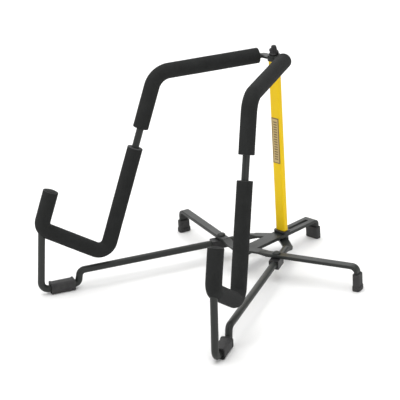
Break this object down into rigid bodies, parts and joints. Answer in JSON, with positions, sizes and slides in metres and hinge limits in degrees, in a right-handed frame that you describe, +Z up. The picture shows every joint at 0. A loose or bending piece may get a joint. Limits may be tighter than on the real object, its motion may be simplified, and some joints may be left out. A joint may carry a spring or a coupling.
{
  "type": "instrument stand",
  "caption": "Low folding floor stand for a stringed instrument: an upright post, foam-covered cradle arms that swing together, and splayed legs with rubber feet.",
  "frame": {"origin": "on the floor, at the middle of the outer box", "axes": "+Z up; -Y is the front, where the instrument rests; +X to the right as seen from the front's opposite side, looking along +Y"},
  "size_m": [0.3526, 0.3901, 0.3124],
  "materials": {
    "yellow_paint": "satin yellow paint",
    "grey_coat": "semi-gloss dark grey powder coat",
    "black_foam": "matt closed-cell foam",
    "black_rubber": "matt rubber",
    "black_plastic": "satin moulded plastic",
    "zinc_steel": "zinc-plated steel",
    "label": "printed sticker"
  },
  "bodies": {
    "frame": {"post": "yellow_paint", "post_top_plug": "black_plastic", "base_collar": "black_plastic", "top_bolt": "zinc_steel", "bottom_bolt": "zinc_steel", "post_label": "label"},
    "spine": {"spine_bar": "grey_coat", "back_foot": "black_rubber", "apex_pin": "grey_coat"},
    "knob": {"clamp_knob": "black_plastic"},
    "left_panel": {"left_arm_tube": "grey_coat", "left_upper_foam": "black_foam", "left_lower_foam": "black_foam", "left_leg_rod": "grey_coat", "left_front_foot": "black_rubber", "left_leg_clip": "black_plastic", "left_clip_rivet": "grey_coat"},
    "left_side_leg": {"left_side_bar": "grey_coat", "left_side_foot": "black_rubber"},
    "right_panel": {"right_arm_tube": "grey_coat", "right_upper_foam": "black_foam", "right_lower_foam": "black_foam", "right_leg_rod": "grey_coat", "right_front_foot": "black_rubber", "right_leg_clip": "black_plastic", "right_clip_rivet": "grey_coat"},
    "right_side_leg": {"right_side_bar": "grey_coat", "right_side_foot": "black_rubber"}
  },
  "joints": [
    {"name": "left_fold", "type": "hinge", "parent": "frame", "child": "left_panel", "pos_m": [0, 0.12405, 0.295], "axis": [0, 0, 1], "range_deg": [0, 20.3]},
    {"name": "right_fold", "type": "hinge", "parent": "frame", "child": "right_panel", "pos_m": [0, 0.12405, 0.295], "axis": [0, 0, -1], "range_deg": [0, 20.4]},
    {"name": "spine_slide", "type": "slide", "parent": "frame", "child": "spine", "axis": [0, -1, 0], "range_m": [0, 0.051]},
    {"name": "left_side_fold", "type": "hinge", "parent": "left_panel", "child": "left_side_leg", "pos_m": [-0.05379, 0.05355, 0.035], "axis": [0, 0, -1], "range_deg": [0, 65.97]},
    {"name": "right_side_fold", "type": "hinge", "parent": "right_panel", "child": "right_side_leg", "pos_m": [0.05379, 0.05355, 0.035], "axis": [0, 0, 1], "range_deg": [0, 65.97]},
    {"name": "knob_turn", "type": "hinge", "parent": "frame", "child": "knob", "pos_m": [0, 0.12405, 0.3], "axis": [0, 0, 1], "range_deg": [0, 360]}
  ],
  "couplings": [
    {"joint": "right_fold", "follows": "left_fold", "ratio": 1},
    {"joint": "spine_slide", "follows": "left_fold", "m_per_rad": 0.14324},
    {"joint": "left_side_fold", "follows": "left_fold", "ratio": 3.24},
    {"joint": "right_side_fold", "follows": "left_fold", "ratio": 3.24}
  ]
}
